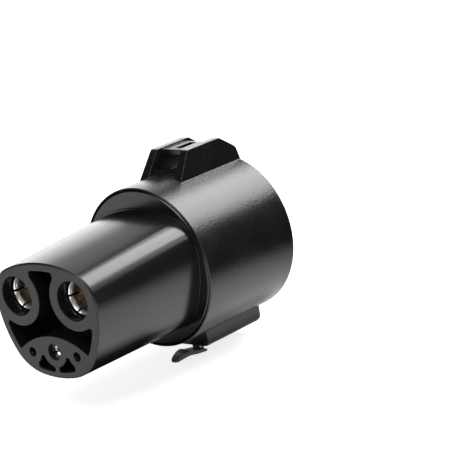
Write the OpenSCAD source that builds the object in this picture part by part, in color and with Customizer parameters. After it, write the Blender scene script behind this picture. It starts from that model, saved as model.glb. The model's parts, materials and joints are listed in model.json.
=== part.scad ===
// Charging adapter: a long nose with five sockets in front, a round five-pin inlet behind.
// The axis runs along Y with the nose's tip at the low end. Z is up, and the shoulder plane is Y = 0.

/* [Plug nose] */
// Length of the nose in front of the shoulder
nose_len = 43; // [38:0.5:48]
// Distance of each power contact from the middle plane
power_x = 11.4; // [10.8:0.1:12]
// Height of the power contacts above the axis
power_z = 4.5; // [4:0.1:5]
// Height of the ground contact
ground_z = -11.7; // [-12.2:0.1:-11.2]
// Distance of each signal contact from the middle plane
signal_x = 9.1; // [8.7:0.1:9.5]
// Height of the signal contacts
signal_z = -12.4; // [-12.8:0.1:-12]
// Radius of the nose's crowned top
top_r = 42; // [38:1:50]
// Radius of the nose's upper corners
corner_r = 9.3; // [9:0.1:9.8]
// Height of the centre of the upper corners
corner_z = 3.8; // [3.4:0.1:4.2]
// Radius of the nose's sides
side_r = 32; // [29:1:36]
// Radius of the nose's lower corners
lower_r = 13.8; // [12.5:0.1:14.5]
// Height of the nose's underside
nose_bottom = -19.8; // [-20.4:0.1:-19.4]
// Radius of the nose's underside
bottom_r = 35; // [32:1:40]
// Wall of the nose round its core-outs
nose_wall = 2.4; // [2:0.1:2.8]
// Wall of the nose round the chamber behind its contacts
chamber_wall = 1.9; // [1.7:0.1:2]
// Rise of the nose's top from tip to shoulder
top_rise = 3; // [2:0.1:3.6]
// Growth of the nose's half width from tip to shoulder
side_rise = 1; // [0.4:0.1:1.6]
// Edge break round the nose's tip
tip_chamfer = 0.5; // [0.2:0.1:0.9]
// Width of the raised land round the nose's root
land_w = 0.6; // [0.4:0.1:1]
// Height of the raised land
land_t = 0.5; // [0.3:0.1:0.9]
// Depth of the solid block that holds the contacts
block_len = 23; // [20:0.5:26]

/* [Core-outs in the nose] */
// Wall left round each power contact's bore
boss_wall = 3.1; // [2.7:0.1:3.4]
// Rounding of the large core-out's corners
core_round = 0.9; // [0.6:0.1:1.1]
// Depth of the large core-out
cavity_depth = 12; // [9:0.5:14]
// Half width of the large core-out between the power bosses
cavity_neck = 4.7; // [4:0.1:5]
// Highest point of the wall below the large core-out
sill_z = -6.9; // [-7.3:0.1:-6.6]
// Radius of that wall's crown
sill_r = 22; // [20:1:26]
// Depth of the two small core-outs
pocket_depth = 6; // [4:0.5:9]
// Wall left between the small core-outs
pocket_web = 1.6; // [1.4:0.1:2]
// Wall of the nose under the small core-outs
pocket_wall = 2; // [1.7:0.1:2.3]
// Rounding of the small core-outs' corners
pocket_round = 0.45; // [0.35:0.05:0.55]
// Half width of the pair of small core-outs
pocket_half_w = 7.4; // [7:0.1:7.8]
// Drop of the small core-outs' tops below the ground contact
pocket_drop = 1.4; // [1.2:0.1:1.8]
// Radius kept solid round the ground contact
ground_boss_r = 4.7; // [4.5:0.1:4.9]
// Radius kept solid round each signal contact
signal_boss_r = 3.5; // [3.3:0.1:3.7]
// Width of the lock notch under the nose
notch_w = 7; // [5:0.5:9]
// Length of the lock notch
notch_len = 5; // [3:0.5:6]
// Depth of the lock notch
notch_depth = 2; // [1.2:0.1:2.4]
// Distance of the lock notch from the nose's tip
notch_from_tip = 12; // [11:0.5:14]

/* [Front contacts] */
// Radius of the power contacts' bores in the nose
power_bore_r = 5.95; // [5.85:0.05:6.1]
// Inner radius of a power contact
power_contact_r = 4.5; // [4.2:0.05:4.6]
// Wall of a power contact's fingers
power_finger_t = 1; // [0.9:0.05:1.1]
// Depth of a power contact behind the nose's face
power_set_back = 4; // [3:0.5:5]
// Number of slots in a power contact
power_slots = 6; // [4:1:8]
// Width of the slots
slot_w = 0.7; // [0.5:0.1:0.9]
// Length of the slots
slot_len = 13; // [9:0.5:15]
// Length of a power contact's bore beyond its slots
root_len = 3; // [2:0.5:4]
// Width of the flare in a power contact's mouth
flare_w = 0.35; // [0.25:0.05:0.45]
// Depth of that flare
flare_depth = 0.6; // [0.4:0.1:0.8]
// Edge break round a power contact's mouth
mouth_break = 0.25; // [0.15:0.05:0.3]
// Step from a power contact's inner radius down to its crimp barrel
barrel_step = 0.5; // [0.3:0.1:0.7]
// Radius of the wire of a spring ring
ring_r = 0.35; // [0.3:0.01:0.4]
// Distance of a spring ring from its contact's front edge
ring_from_edge = 5; // [4:0.5:7]
// Radius of the ground contact's bore in the nose
ground_bore_r = 2.45; // [2.4:0.05:2.6]
// Inner radius of the ground contact
ground_contact_r = 1.5; // [1.4:0.05:1.6]
// Radius of the signal contacts' bores in the nose
signal_bore_r = 1.4; // [1.35:0.05:1.5]
// Inner radius of a signal contact
signal_contact_r = 0.75; // [0.7:0.05:0.8]
// Depth of the small contacts behind the nose's face
small_set_back = 2.5; // [1.5:0.5:4]
// Gap between the small contacts and their bores
contact_gap = 0.1; // [0.06:0.01:0.15]
// Thickness of a contact's collar
collar_t = 2; // [1.5:0.1:2.5]
// Width of a contact's collar beyond its bore
collar_w = 0.55; // [0.4:0.05:0.65]
// Wall of the small contacts' crimp barrels, and flare of their mouths
small_barrel_t = 0.4; // [0.3:0.05:0.5]
// Length of the crimp barrels behind the collars
barrel_len = 6; // [5:0.5:7]
// Thickness of the contact retainer
retainer_t = 3; // [2:0.5:3.5]
// Height of the upper retainer screw
retainer_screw_z = 9; // [8:0.5:9.5]
// Height of the lower retainer screw
retainer_screw_low_z = -3; // [-4:0.5:-2]
// Length of the retainer screws
retainer_screw_len = 8; // [6:0.5:9]

/* [Rear body] */
// Length of the round body behind the shoulder
shell_len = 40; // [38:0.5:44]
// Outer radius of the round body
shell_r = 25; // [24.8:0.1:25.6]
// Width of the round body's rim and the gap round the shoulder disc
rim_w = 0.85; // [0.7:0.05:1.1]
// Thickness of the shoulder disc
disc_t = 3; // [2.5:0.1:3.5]
// Gap between disc and rim
disc_gap = 0.25; // [0.15:0.05:0.35]
// Wall of the round body round the rear recess
shell_wall = 2.75; // [2.5:0.05:3]
// Position of the web between front chamber and recess
web_y = 13; // [12:0.5:14]
// Thickness of that web
web_t = 3; // [2.6:0.1:3.4]
// Rounding of the rear rim
rim_round = 0.9; // [0.5:0.1:1.1]
// Edge break on the front rim
front_chamfer = 0.3; // [0.2:0.05:0.4]
// Thickness of the spigot ring behind the disc
spigot_wall = 4.6; // [4.3:0.1:5]
// Running clearance of the spigot in the chamber
spigot_gap = 0.1; // [0.05:0.01:0.2]
// Radius of the seal ring's section
seal_r = 0.8; // [0.6:0.05:0.9]
// Distance of the seal ring behind the disc
seal_from_disc = 1.5; // [1.3:0.1:1.8]

/* [Pin block] */
// Width of the ring-shaped room round the block in the recess
ring_room = 5.15; // [4.95:0.05:5.35]
// Distance of the block's face from the rear rim
block_set_back = 0.3; // [0:0.1:1]
// Thickness of the block's flange
flange_t = 2; // [1.6:0.1:2.4]
// Thickness of the floor behind the wells
floor_t = 6; // [5:0.5:7]
// Clearance of the block in the web
block_gap = 0.15; // [0.1:0.05:0.2]
// Edge break round the block's face
block_chamfer = 0.4; // [0.2:0.1:0.6]
// Distance of each line pin from the middle plane
line_x = 7.9; // [7.6:0.1:8.1]
// Height of the line pins
line_z = 6.8; // [6.5:0.1:7.1]
// Height of the ground pin
earth_z = -10.6; // [-10.8:0.1:-10.4]
// Distance of each signal pin from the middle plane
sense_x = 10.7; // [10.5:0.1:10.9]
// Height of the signal pins
sense_z = -5.6; // [-5.8:0.1:-5.4]
// Radius of the three large wells
well_r = 5.5; // [5.2:0.1:5.6]
// Radius of the two small wells
small_well_r = 4.3; // [4.1:0.1:4.4]
// Radius of the line pins
line_pin_r = 1.8; // [1.7:0.05:1.9]
// Radius of the ground pin
earth_pin_r = 1.4; // [1.3:0.05:1.5]
// Radius of the signal pins
sense_pin_r = 0.75; // [0.7:0.05:0.8]
// Distance of the pins' tips from the block's face
tip_set_back = 6.5; // [5:0.5:8]
// Width of a pin's shank in the block beyond its free end
pin_step = 0.3; // [0.2:0.05:0.4]
// Width of a pin's collar beyond its free end
pin_collar_w = 1; // [0.8:0.1:1.2]
// Thickness of a pin's collar
pin_collar_t = 1.5; // [1:0.1:2]
// Length of a pin's crimp barrel
pin_barrel_len = 4; // [3:0.5:5]

/* [Latch rails] */
// Half width across the rails' outer faces
rail_half_w = 8.6; // [8.2:0.1:8.8]
// Thickness of each rail
rail_t = 3.2; // [2.8:0.1:3.4]
// Rise of the rails' tops above the round body
rail_rise = 7; // [6.4:0.1:7.5]
// Lean of the rails' outer faces towards the middle over their height
rail_lean = 1.1; // [0.8:0.1:1.3]
// Rounding of the rails' top corners
rail_corner = 0.6; // [0.4:0.1:0.8]
// Start of the rails behind the shoulder
rail_front = 11.5; // [10.5:0.1:12.5]
// Length of the rails' front slope
rail_front_slope = 6.4; // [5.5:0.1:7]
// Distance of the rails' end from the rear rim
rail_end_gap = 0.4; // [0.2:0.1:1.4]
// Length of the rails' rear slope
rail_rear_slope = 6.8; // [6:0.1:7.5]
// Start of the bridge behind the shoulder
bridge_front = 20.4; // [19.8:0.1:21]
// Length of the bridge
bridge_len = 9.9; // [9:0.1:10.8]
// Drop of the bridge's top below the rails' tops
bridge_drop = 0.6; // [0.4:0.1:0.8]
// Thickness of the bridge
bridge_t = 1.7; // [1.5:0.1:1.7]
// Width of the bridge's window
window_w = 2.8; // [2.4:0.1:3.4]
// Length of the bridge's window
window_len = 7; // [6:0.1:7.6]

/* [Key cowl] */
// Half width of the cowl
cowl_half_w = 7.3; // [7:0.1:7.8]
// Drop of the cowl's underside below the round body
cowl_drop = 4.3; // [4.2:0.1:4.7]
// Rounding of the cowl's lower edges
cowl_round = 2.2; // [1.5:0.1:2.5]
// Start of the cowl behind the shoulder
cowl_front = 12.9; // [12.4:0.1:13]
// Length of the cowl's slanted front
cowl_slope = 0.5; // [0.2:0.1:0.6]
// Distance of the cowl's end from the rear rim
cowl_end_gap = 1.4; // [0.8:0.1:2]
// Rounding of the cowl's lower rear corner
cowl_end_round = 2; // [1.5:0.1:2.1]
// Half width of the key channel
key_half_w = 4.9; // [4.5:0.1:5.1]
// Thickness of the cowl under the key channel
key_floor_t = 2; // [1.9:0.1:2.2]
// Start of the key channel behind the shoulder
key_front = 19.3; // [19.2:0.1:20.5]

/* [Finger lever] */
// Position of the lever's pivot behind the shoulder
pivot_y = 16.2; // [16.1:0.05:16.3]
// Rise of the lever's pivot above the cowl's underside
pivot_rise = 2.1; // [2:0.05:2.2]
// Radius of the pivot pin
pivot_pin_r = 0.8; // [0.7:0.05:0.9]
// Running clearance of the lever on its pin
pivot_gap = 0.05; // [0.04:0.01:0.08]
// Radius of the lever's hub
hub_r = 1.7; // [1.6:0.05:1.8]
// Reach of the lever's stem in front of the pivot
stem_front = 1.1; // [1:0.05:1.2]
// Reach of the stem's foot behind the pivot
stem_rear = 0.6; // [0.5:0.05:0.7]
// Half width of the lever's hub and stem
stem_half_w = 1.6; // [1.4:0.1:1.8]
// Greatest thickness of the lever's leaf
paddle_t = 1.6; // [1.4:0.1:1.7]
// Reach of the leaf in front of the pivot
paddle_reach = 12.2; // [11.6:0.1:12.4]
// Drop of the leaf's hump below the cowl's underside
paddle_hump = 0.2; // [0.1:0.1:0.4]
// Drop of the leaf's tip below the cowl's underside
paddle_droop = 2; // [1.8:0.1:2.2]
// Half width of the leaf at its tip
tip_half_w = 1.4; // [1.2:0.1:1.6]
// Half width of the leaf at its rear
tail_half_w = 3; // [2.7:0.1:3.2]
// Reach of the leaf behind the pivot
tail_reach = 1.3; // [1.2:0.05:1.4]
// Side clearance of the lever in its slot
slot_side_gap = 0.3; // [0.2:0.05:0.4]
// Radius of the wire of the lever's spring
spring_wire_r = 0.2; // [0.18:0.01:0.25]
// Turns of the lever's spring
spring_turns = 3; // [2:1:3]

/* [Fasteners and leads] */
// Room between the shell screws' heads and the recess's wall
head_room = 0.35; // [0.25:0.05:0.45]
// Radius of the shell screws' threads
shell_screw_r = 1.1; // [1:0.05:1.2]
// Radius of the shell screws' heads
shell_head_r = 2.2; // [2:0.1:2.3]
// Thickness of the shell screws' heads
shell_head_t = 1.4; // [1.1:0.1:1.6]
// Length of the shell screws' shanks
shell_screw_len = 8; // [7:0.5:9]
// Radius of the retainer screws' threads
small_screw_r = 0.9; // [0.8:0.05:1]
// Radius of the retainer screws' heads
small_head_r = 1.7; // [1.5:0.1:1.9]
// Thickness of the retainer screws' heads
small_head_t = 1.2; // [1:0.1:1.4]
// Gap round a screw in its hole
screw_gap = 0.15; // [0.1:0.05:0.2]
// Radius of the power leads over their insulation
power_wire_r = 2.2; // [1.9:0.1:2.4]
// Radius of the ground lead
ground_wire_r = 1.6; // [1.4:0.1:1.8]
// Radius of the signal leads
signal_wire_r = 0.9; // [0.8:0.1:1]
// Length of the thermal cut-off
cutoff_len = 5; // [4:0.5:6]
// Width of the thermal cut-off
cutoff_w = 4; // [3:0.5:4.5]
// Thickness of the thermal cut-off
cutoff_t = 2.6; // [2:0.2:3]

/* [Hidden] */
$fn = 64;
// Overlap that lets a cut run clear through a face
eps = 0.5;
// Steps of each arc in the nose's outline
arc_steps = 7;
// Sides of a lead's section, and steps along it
wire_sides = 12;
wire_steps = 10;

// Places along the axis
tip_y = -nose_len;
block_y = tip_y + block_len;
collar_y = block_y + collar_t;
retainer_y = collar_y + retainer_t;
barrel_y = collar_y + barrel_len;
spigot_y = web_y - flange_t;
recess_y = web_y + web_t;
face_y = shell_len - block_set_back;
well_y = recess_y - web_t + floor_t;
pin_tip_y = face_y - tip_set_back;
pin_front_y = web_y - flange_t - pin_collar_t - pin_barrel_len;
// Radii of the shoulder disc, the recess, the block, the chamber, the spigot and the seal's ring
disc_r = shell_r - rim_w;
recess_r = shell_r - shell_wall;
block_r = recess_r - ring_room;
chamber_r = recess_r - 0.05;
spigot_r = chamber_r - spigot_gap;
spigot_bore_r = spigot_r - spigot_wall;
seal_ring_r = chamber_r - seal_r;
seal_y = disc_t + seal_from_disc;
// Heights of the rails' tops, the cowl's underside, the key channel's floor and the lever's pivot
rail_top = shell_r + rail_rise;
rail_foot = recess_r + 1;
cowl_bottom = -shell_r - cowl_drop;
key_bottom = cowl_bottom + key_floor_t;
pivot_z = cowl_bottom + pivot_rise;
// The three shell screws stand clear of the rails and the cowl
shell_screw_ring = recess_r - shell_head_r - head_room;
shell_screw_angles = [90, 210, 330];
// Radii of the contacts' sleeves
power_sleeve_r = power_contact_r + power_finger_t;
power_collar_r = power_bore_r + collar_w;
power_barrel_r = power_contact_r - barrel_step;
ring_groove_r = power_sleeve_r - ring_r;
// The lever's slot in the cowl, and the height of its leaf's top at the stem
slot_half_w = stem_half_w + slot_side_gap;
hub_gap = 0.3;
spring_side_w = 2.6;
paddle_top = cowl_bottom - 1.2;
pin_end_inset = 1.1;
coil_r = pivot_pin_r + spring_wire_r + 0.35;

// Moves a thing drawn along Z so that it runs along Y from y0
module along_y(y0) { translate([0, y0, 0]) rotate([-90, 0, 0]) children(); }

// A round bar along Y between two planes
module bar(y0, y1, r, at = [0, 0]) {
    translate([at[0], 0, at[1]]) along_y(y0) cylinder(h = y1 - y0, r = r);
}

// A flat outline in X and Z, drawn out along Y between two planes
module prism(y0, y1) { translate([0, y1, 0]) rotate([90, 0, 0]) linear_extrude(y1 - y0) children(); }

// A flat outline in Y and Z, drawn out along X between two planes
module side_prism(x0, x1) {
    translate([x0, 0, 0]) rotate([90, 0, 90]) linear_extrude(x1 - x0) children();
}

// Points of an arc, in degrees
function arc(c, r, a0, a1) =
    [for (i = [0 : arc_steps]) let (a = a0 + (a1 - a0) * i / arc_steps) c + r * [cos(a), sin(a)]];
// Angle of the line from a to b
function aim(a, b) = atan2(b[1] - a[1], b[0] - a[0]);
// Lower crossing of two circles
function low_cross(a, ra, b, rb) =
    let (d = norm(b - a), u = (b - a) / d, k = (ra * ra - rb * rb + d * d) / (2 * d),
         h = sqrt(ra * ra - k * k), p = a + u * k + h * [-u[1], u[0]], q = a + u * k - h * [-u[1], u[0]])
    p[1] < q[1] ? p : q;

// Centres of the arcs that make up the nose's outline, each one tangent to the next
corner_c = [power_x, corner_z];
top_c = [0, corner_z - sqrt(pow(top_r - corner_r, 2) - power_x * power_x)];
side_c = [power_x - (side_r - corner_r), corner_z];
bottom_c = [0, nose_bottom + bottom_r];
lower_c = low_cross(side_c, side_r - lower_r, bottom_c, bottom_r - lower_r);

// The right half of the nose's outline, moved in by a distance
function half_outline(inset) = concat(
    arc(top_c, top_r - inset, 90, aim(top_c, corner_c)),
    arc(corner_c, corner_r - inset, aim(top_c, corner_c), 0),
    arc(side_c, side_r - inset, 0, aim(side_c, lower_c)),
    arc(lower_c, lower_r - inset, aim(side_c, lower_c), aim(bottom_c, lower_c)),
    arc(bottom_c, bottom_r - inset, aim(bottom_c, lower_c), -90));
// The whole outline: the right half, then the left half the other way round
function outline(inset) = let (h = half_outline(inset), n = len(h))
    concat([for (i = [0 : n - 2]) if (i % (arc_steps + 1) != arc_steps) h[i]], [h[n - 1]],
           [for (i = [n - 2 : -1 : 1]) if (i % (arc_steps + 1) != arc_steps) [-h[i][0], h[i][1]]]);

nose_top = top_c[1] + top_r;
nose_half_w = power_x + corner_r;
// Scale of the outline at the shoulder, from the rise of its top and its sides
root_scale = [1 + side_rise / nose_half_w, 1 + top_rise / (nose_top - nose_bottom)];
module root_outline(grow = 0) {
    translate([0, nose_bottom]) scale(root_scale) translate([0, -nose_bottom]) polygon(outline(-grow));
}

// The tapered outside of the nose
module nose_body() {
    hull() {
        prism(tip_y, tip_y + 0.01) polygon(outline(tip_chamfer));
        prism(tip_y + tip_chamfer, tip_y + tip_chamfer + 0.01) polygon(outline(0));
        prism(-0.01, 0.01) root_outline();
    }
}

// The large core-out between the power bosses
module large_core() {
    offset(r = core_round) offset(delta = -core_round) difference() {
        polygon(outline(nose_wall));
        for (s = [-1, 1]) {
            translate([s * power_x, power_z]) circle(r = power_bore_r + boss_wall);
            translate([s > 0 ? cavity_neck : -cavity_neck - corner_r, power_z])
                square([corner_r, nose_top]);
        }
        translate([0, sill_z - sill_r]) circle(r = sill_r);
    }
}

// The two small core-outs below the ground contact
module small_cores() {
    offset(r = pocket_round) offset(delta = -pocket_round) intersection() {
        difference() {
            polygon(outline(pocket_wall));
            translate([0, ground_z]) circle(r = ground_boss_r);
            for (s = [-1, 1]) translate([s * signal_x, signal_z]) circle(r = signal_boss_r);
            translate([-pocket_web / 2, nose_bottom]) square([pocket_web, -nose_bottom]);
        }
        translate([-pocket_half_w, nose_bottom])
            square([2 * pocket_half_w, ground_z - pocket_drop - nose_bottom]);
    }
}

module nose_housing() {
    color("#26272a")
    difference() {
        union() {
            nose_body();
            prism(-land_t, eps) root_outline(land_w);
            bar(0, disc_t, disc_r);
            bar(disc_t, spigot_y, spigot_r);
        }
        for (s = [-1, 1]) {
            bar(tip_y - eps, block_y + eps, power_bore_r, [s * power_x, power_z]);
            bar(tip_y - eps, block_y + eps, signal_bore_r, [s * signal_x, signal_z]);
        }
        bar(tip_y - eps, block_y + eps, ground_bore_r, [0, ground_z]);
        prism(tip_y - eps, tip_y + cavity_depth) large_core();
        prism(tip_y - eps, tip_y + pocket_depth) small_cores();
        prism(block_y, disc_t) polygon(outline(chamber_wall));
        bar(disc_t - eps / 5, spigot_y + eps, spigot_bore_r);
        along_y(seal_y) rotate_extrude()
            translate([seal_ring_r - seal_r, -seal_r]) square([3 * seal_r, 2 * seal_r]);
        for (z = [retainer_screw_z, retainer_screw_low_z])
            bar(retainer_y - retainer_screw_len - eps, block_y + eps, small_screw_r, [0, z]);
        for (a = shell_screw_angles)
            bar(recess_y - shell_head_t - shell_screw_len - eps, spigot_y + eps, shell_screw_r,
                shell_screw_ring * [cos(a), sin(a)]);
        translate([-notch_w / 2, tip_y + notch_from_tip, nose_bottom - eps])
            cube([notch_w, notch_len, notch_depth + eps]);
    }
}

// The round body's section, with its rear rim rounded and its front edge broken
module shell_section() {
    rim = [for (a = [0 : 15 : 90]) [shell_len - rim_round + rim_round * sin(a),
                                    shell_r - rim_round + rim_round * cos(a)]];
    polygon([for (p = concat([[0, 0], [0, shell_r - front_chamfer], [front_chamfer, shell_r]], rim,
                             [[shell_len, 0]])) [p[1], p[0]]]);
}

// Side view of a latch rail, from its front foot to its rear foot
module rail_side() {
    top_y = rail_front + rail_front_slope;
    end_y = shell_len - rail_end_gap;
    rear_y = end_y - rail_rear_slope;
    polygon([[rail_front, rail_foot],
             [top_y - 0.6 * rail_corner, rail_top - 0.8 * rail_corner],
             [top_y + 0.05 * rail_corner, rail_top - 0.22 * rail_corner],
             [top_y + 0.9 * rail_corner, rail_top],
             [rear_y - rail_corner, rail_top], [rear_y + 0.2 * rail_corner, rail_top - 0.35 * rail_corner],
             [end_y - 1.2, rail_top - 4], [end_y - 0.5, rail_top - 4.9],
             [end_y, shell_r - 0.6], [end_y, rail_foot]]);
}

// Section of the right rail, which leans towards the middle and thins out upwards
module rail_section() {
    polygon([[rail_half_w - rail_t, rail_foot], [rail_half_w, rail_foot],
             [rail_half_w - rail_lean, rail_top + eps],
             [rail_half_w - rail_t - rail_lean / 2, rail_top + eps]]);
}

module latch_rails() {
    for (s = [0, 1]) mirror([s, 0, 0]) intersection() {
        side_prism(0, rail_half_w) rail_side();
        prism(0, shell_len) rail_section();
    }
    bridge_half_w = rail_half_w - rail_lean - rail_t / 2;
    difference() {
        translate([-bridge_half_w, bridge_front, rail_top - bridge_drop - bridge_t])
            cube([2 * bridge_half_w, bridge_len, bridge_t]);
        translate([-window_w / 2, bridge_front + (bridge_len - window_len) / 2, shell_r])
            cube([window_w, window_len, rail_top]);
    }
}

// The cowl under the round body, with rounded lower edges, a slanted front and a rounded rear corner
module key_cowl() {
    intersection() {
        prism(0, shell_len) {
            translate([-cowl_half_w, cowl_bottom + cowl_round])
                square([2 * cowl_half_w, -cowl_bottom - recess_r]);
            translate([-cowl_half_w + cowl_round, cowl_bottom])
                square([2 * (cowl_half_w - cowl_round), cowl_round + 1]);
            for (s = [-1, 1]) translate([s * (cowl_half_w - cowl_round), cowl_bottom + cowl_round])
                circle(r = cowl_round);
        }
        side_prism(-2 * cowl_half_w, 2 * cowl_half_w)
            polygon(concat([[cowl_front, -shell_r], [cowl_front + cowl_slope, cowl_bottom + 0.4],
                            [cowl_front + cowl_slope + 0.4, cowl_bottom]],
                           arc([shell_len - cowl_end_gap - cowl_end_round, cowl_bottom + cowl_end_round],
                               cowl_end_round, -90, 0),
                           [[shell_len - cowl_end_gap, -recess_r], [cowl_front, -recess_r]]));
    }
}

// What the lever, its pin and its spring need in the cowl
module lever_room() {
    half = hub_r + hub_gap;
    translate([-slot_half_w, pivot_y - half, cowl_bottom - eps])
        cube([2 * slot_half_w, 2 * half, pivot_z + half - cowl_bottom + eps]);
    translate([0, pivot_y - half, cowl_bottom - eps])
        cube([slot_half_w + spring_side_w, 2 * half, pivot_z + half - cowl_bottom + eps]);
    translate([-cowl_half_w - eps, pivot_y, pivot_z]) rotate([0, 90, 0])
        cylinder(h = 2 * cowl_half_w - pin_end_inset + eps, r = pivot_pin_r);
}

module rear_shell() {
    color("#232427")
    difference() {
        union() {
            rotate([-90, 0, 0]) rotate_extrude() shell_section();
            latch_rails();
            key_cowl();
        }
        bar(-eps, disc_t, disc_r + disc_gap);
        bar(-eps, web_y, chamber_r);
        bar(web_y - eps, recess_y + eps, block_r + block_gap);
        bar(recess_y, shell_len + eps, recess_r);
        translate([-key_half_w, key_front, key_bottom])
            cube([2 * key_half_w, shell_len, -key_bottom - block_r]);
        for (a = shell_screw_angles) {
            bar(web_y - eps, recess_y + eps, shell_screw_r + screw_gap, shell_screw_ring * [cos(a), sin(a)]);
            bar(recess_y - shell_head_t, recess_y + eps, shell_head_r + screw_gap,
                shell_screw_ring * [cos(a), sin(a)]);
        }
        lever_room();
    }
}

module pin_block() {
    color("#1d1e20")
    difference() {
        union() {
            bar(spigot_y, web_y, spigot_r);
            along_y(spigot_y) rotate_extrude() polygon([[0, 0], [block_r, 0],
                [block_r, face_y - spigot_y - block_chamfer], [block_r - block_chamfer, face_y - spigot_y],
                [0, face_y - spigot_y]]);
        }
        for (s = [-1, 1]) {
            bar(well_y, shell_len, well_r, [s * line_x, line_z]);
            bar(0, well_y + eps, line_pin_r + pin_step, [s * line_x, line_z]);
            bar(well_y, shell_len, small_well_r, [s * sense_x, sense_z]);
            bar(0, well_y + eps, sense_pin_r + pin_step, [s * sense_x, sense_z]);
        }
        bar(well_y, shell_len, well_r, [0, earth_z]);
        bar(0, well_y + eps, earth_pin_r + pin_step, [0, earth_z]);
        for (a = shell_screw_angles)
            bar(0, web_y + eps, shell_screw_r + screw_gap, shell_screw_ring * [cos(a), sin(a)]);
    }
}

// A slotted power contact, with a flared mouth, a collar and a crimp barrel
module power_socket() {
    front = tip_y + power_set_back;
    solid_y = front + slot_len + root_len;
    difference() {
        union() {
            along_y(front) rotate_extrude() polygon([[0, flare_depth], [power_contact_r + 0.1, flare_depth],
                [power_contact_r + flare_w, 0.1], [power_sleeve_r - mouth_break, 0],
                [power_sleeve_r, mouth_break], [power_sleeve_r, block_y - front], [0, block_y - front]]);
            bar(block_y, collar_y, power_collar_r);
            bar(collar_y, barrel_y, power_barrel_r);
        }
        bar(front - eps, solid_y, power_contact_r);
        along_y(front + ring_from_edge) rotate_extrude()
            translate([ring_groove_r, -ring_r]) square([2 * ring_r, 2 * ring_r]);
        for (i = [0 : power_slots - 1])
            rotate([0, i * 360 / power_slots, 0])
                translate([0, front - eps, -slot_w / 2]) cube([2 * power_sleeve_r, slot_len + eps, slot_w]);
    }
}

// The spring ring in a power contact's groove
module socket_spring() {
    along_y(tip_y + power_set_back + ring_from_edge)
        rotate_extrude() translate([ring_groove_r + ring_r, 0]) circle(r = ring_r, $fn = 16);
}

// A small contact: a split sleeve, a collar and a crimp barrel
module small_socket(bore_r, contact_r) {
    front = tip_y + small_set_back;
    sleeve_r = bore_r - contact_gap;
    difference() {
        union() {
            bar(front, block_y, sleeve_r);
            bar(block_y, collar_y, bore_r + collar_w);
            bar(collar_y, barrel_y, contact_r + small_barrel_t);
        }
        bar(front - eps, front + slot_len, contact_r);
        along_y(front - 0.01)
            cylinder(h = small_barrel_t, r1 = contact_r + small_barrel_t, r2 = contact_r);
        translate([-sleeve_r - eps, front - eps, -slot_w / 4])
            cube([2 * (sleeve_r + eps), slot_len / 2 + eps, slot_w / 2]);
    }
}

module power_socket_left() { color("#c9c3b4") translate([-power_x, 0, power_z]) power_socket(); }
module power_socket_right() { color("#c9c3b4") translate([power_x, 0, power_z]) power_socket(); }
module socket_spring_left() { color("#9a9a98") translate([-power_x, 0, power_z]) socket_spring(); }
module socket_spring_right() { color("#9a9a98") translate([power_x, 0, power_z]) socket_spring(); }
module ground_socket() {
    color("#c9c3b4") translate([0, 0, ground_z]) small_socket(ground_bore_r, ground_contact_r);
}
module pilot_socket() {
    color("#c9c3b4") translate([signal_x, 0, signal_z]) small_socket(signal_bore_r, signal_contact_r);
}
module proximity_socket() {
    color("#c9c3b4") translate([-signal_x, 0, signal_z]) small_socket(signal_bore_r, signal_contact_r);
}

// The plate that holds the contacts' collars against the nose's block
module contact_retainer() {
    color("#8d8f8c")
    difference() {
        prism(collar_y, retainer_y) polygon(outline(chamber_wall + screw_gap));
        for (s = [-1, 1]) {
            bar(collar_y - eps, retainer_y + eps, power_barrel_r + screw_gap, [s * power_x, power_z]);
            bar(collar_y - eps, retainer_y + eps, signal_contact_r + small_barrel_t + screw_gap,
                [s * signal_x, signal_z]);
        }
        bar(collar_y - eps, retainer_y + eps, ground_contact_r + small_barrel_t + screw_gap, [0, ground_z]);
        for (z = [retainer_screw_z, retainer_screw_low_z])
            bar(collar_y - eps, retainer_y + eps, small_screw_r + screw_gap, [0, z]);
    }
}

// A pan-head screw whose shank runs towards the nose from the plane y0
module screw(y0, len, r, head_r, head_t, at) {
    socket_r = head_r * 0.45;
    difference() {
        union() {
            bar(y0 - len, y0, r, at);
            bar(y0, y0 + head_t, head_r, at);
        }
        translate([at[0], 0, at[1]]) along_y(y0 + head_t * 0.4)
            cylinder(h = head_t, r = socket_r, $fn = 6);
    }
}

module retainer_screws() {
    color("#b9bbbd")
    for (z = [retainer_screw_z, retainer_screw_low_z])
        screw(retainer_y, retainer_screw_len, small_screw_r, small_head_r, small_head_t, [0, z]);
}

module shell_screws() {
    color("#b9bbbd")
    for (a = shell_screw_angles)
        screw(recess_y - shell_head_t, shell_screw_len, shell_screw_r, shell_head_r, shell_head_t,
              shell_screw_ring * [cos(a), sin(a)]);
}

module body_seal() {
    color("#38393b")
    along_y(seal_y) rotate_extrude() translate([seal_ring_r, 0]) circle(r = seal_r, $fn = 24);
}

// Skin of a tube with a ring of points at each station
module tube_skin(rings) {
    n = len(rings);
    m = len(rings[0]);
    polyhedron(
        points = [for (ring = rings) for (p = ring) p],
        faces = concat(
            [[for (j = [0 : m - 1]) j]],
            [for (i = [0 : n - 2]) for (j = [0 : m - 1])
                [i * m + j, (i + 1) * m + j, (i + 1) * m + (j + 1) % m, i * m + (j + 1) % m]],
            [[for (j = [m - 1 : -1 : 0]) (n - 1) * m + j]]));
}

// A lead from one plane to another that eases from its first place to its last
module lead(y0, y1, from, to, r) {
    tube_skin([for (i = [0 : wire_steps])
        let (t = i / wire_steps, c = from + (to - from) * (1 - cos(180 * t)) / 2)
        [for (j = [0 : wire_sides - 1]) let (a = 360 * j / wire_sides)
            [c[0] + r * cos(a), y0 + (y1 - y0) * t, c[1] + r * sin(a)]]]);
}

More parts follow.
